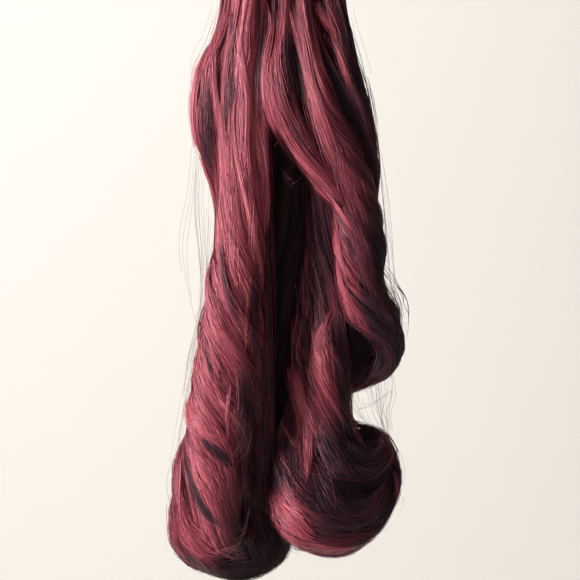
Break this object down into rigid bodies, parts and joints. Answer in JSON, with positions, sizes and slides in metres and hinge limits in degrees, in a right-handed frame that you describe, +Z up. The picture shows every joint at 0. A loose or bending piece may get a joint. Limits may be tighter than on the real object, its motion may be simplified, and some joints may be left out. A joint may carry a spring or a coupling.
{
  "type": "clip-in hair extension",
  "caption": "Long wavy clip-in hair extension in burgundy and near-black locks with large rolled ends, sewn to a weft band with snap clips on its back.",
  "frame": {"origin": "the middle of the weft band's top edge, where the extension pins on", "axes": "+Z up, the hair's front faces -Y, the clips face +Y towards the head, +X is to the right in the front view"},
  "size_m": [0.1894, 0.1165, 0.5629],
  "materials": {
    "burgundy_hair": "silky synthetic hair with a soft sheen",
    "dark_hair": "near-black synthetic hair with a soft sheen",
    "band_cloth": "matt sewn ribbon",
    "clip_metal": "black satin paint"
  },
  "bodies": {
    "root": {"weft_band": "band_cloth", "clip_left": "clip_metal", "clip_right": "clip_metal", "lock_left_outer": "burgundy_hair", "lock_left_front": "burgundy_hair", "lock_left_curl": "burgundy_hair", "lock_left_inner": "dark_hair", "lock_back_centre": "dark_hair", "lock_right_inner": "burgundy_hair", "lock_right_front": "burgundy_hair", "lock_right_outer": "burgundy_hair", "lock_right_lower": "burgundy_hair", "lock_right_curl": "burgundy_hair"}
  },
  "joints": []
}
